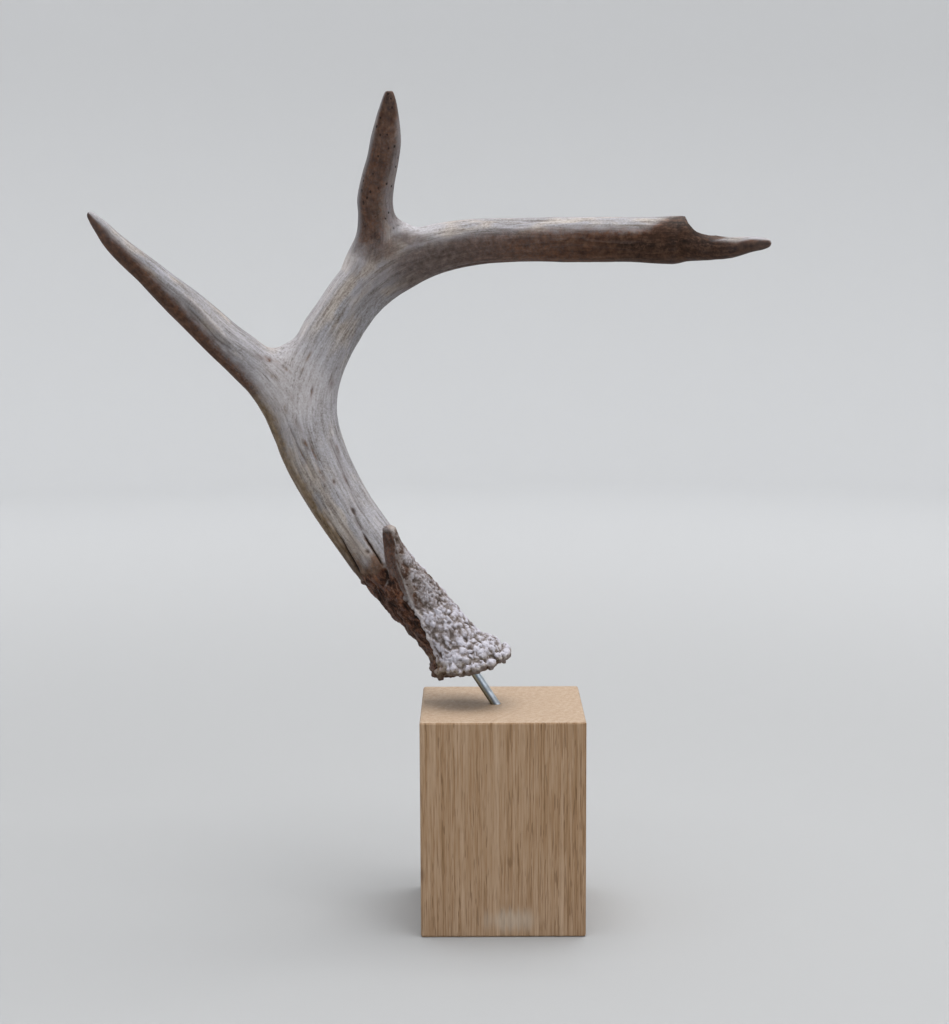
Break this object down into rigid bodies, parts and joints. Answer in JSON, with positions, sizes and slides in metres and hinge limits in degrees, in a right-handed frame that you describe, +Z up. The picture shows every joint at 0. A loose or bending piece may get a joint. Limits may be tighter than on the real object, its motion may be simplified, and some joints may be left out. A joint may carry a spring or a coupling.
{
  "type": "deer antler on a wooden block",
  "caption": "Shed deer antler with a knobbly burr, a curved beam and pointed tines, held upright over a square oak block by a thin steel rod.",
  "frame": {"origin": "centre of the block's underside", "axes": "+Z up; +X towards the tip of the main beam; +Y away from the viewer, the side to which the beam bows"},
  "size_m": [0.309, 0.0952, 0.3835],
  "materials": {
    "antler": "weathered bone: bleached grey with brown stains, long fine grain, dull",
    "oak": "planed and lightly oiled oak, end grain on top",
    "steel": "plain drawn steel rod"
  },
  "bodies": {
    "root": {"main_beam": "antler", "back_tine": "antler", "upright_tine": "antler", "oak_block": "oak", "steel_rod": "steel"}
  },
  "joints": []
}
